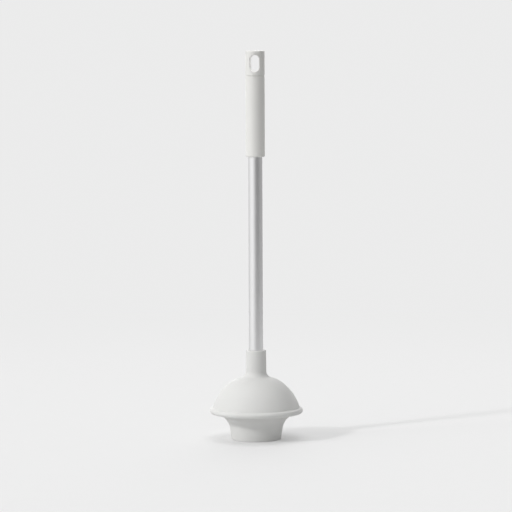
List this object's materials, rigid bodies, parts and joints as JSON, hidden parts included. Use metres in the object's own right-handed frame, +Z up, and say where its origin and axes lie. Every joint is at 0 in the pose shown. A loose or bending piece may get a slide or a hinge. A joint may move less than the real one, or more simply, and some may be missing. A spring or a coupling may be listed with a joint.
{
  "type": "toilet plunger",
  "caption": "Toilet plunger: soft rubber bell with a fold-out flange, screwed to a straight metal tube handle with a round grip and a slotted hang cap.",
  "frame": {"origin": "centre of the foot's bottom edge, where the plunger stands", "axes": "+Z up along the handle, the hang slot runs through along Y"},
  "size_m": [0.142, 0.142, 0.59],
  "materials": {
    "cup_rubber": "matt light grey moulded rubber",
    "joint_plastic": "plain moulded plastic, hidden inside the neck and tube",
    "washer_rubber": "black sealing rubber, hidden inside the neck",
    "pin_steel": "plain spring steel, hidden inside the neck",
    "tube_metal": "satin, finely drawn along its length",
    "grip_plastic": "satin warm off-white",
    "cap_plastic": "satin warm off-white"
  },
  "bodies": {
    "flange": {"flange_foot": "cup_rubber"},
    "cup": {"cup_rim": "cup_rubber", "cup_dome": "cup_rubber", "flange_web": "cup_rubber"},
    "neck": {"cup_neck": "cup_rubber", "threaded_socket": "joint_plastic"},
    "washer": {"seal_washer": "washer_rubber"},
    "handle": {"end_plug": "joint_plastic", "plug_pin": "pin_steel", "handle_tube": "tube_metal", "grip_sleeve": "grip_plastic", "hang_cap": "cap_plastic"}
  },
  "joints": [
    {"name": "flange_fold", "type": "slide", "parent": "flange", "child": "cup", "axis": [0, 0, -1], "range_m": [0, 0.0385], "deforming": ["flange_web"]},
    {"name": "plunge", "type": "slide", "parent": "cup", "child": "neck", "axis": [0, 0, -1], "range_m": [-0.006, 0.026], "stiffness_N_per_m": 2000, "springref_m": -0.001, "deforming": ["cup_dome"]},
    {"name": "handle_rise", "type": "slide", "parent": "neck", "child": "washer", "axis": [0, 0, 1], "range_m": [0, 0.0178]},
    {"name": "handle_unscrew", "type": "hinge", "parent": "washer", "child": "handle", "pos_m": [0, 0, 0.114], "axis": [0, 0, 1], "range_deg": [0, 1260]}
  ],
  "couplings": [
    {"joint": "handle_rise", "follows": "handle_unscrew", "m_per_rad": 0.00080851}
  ]
}
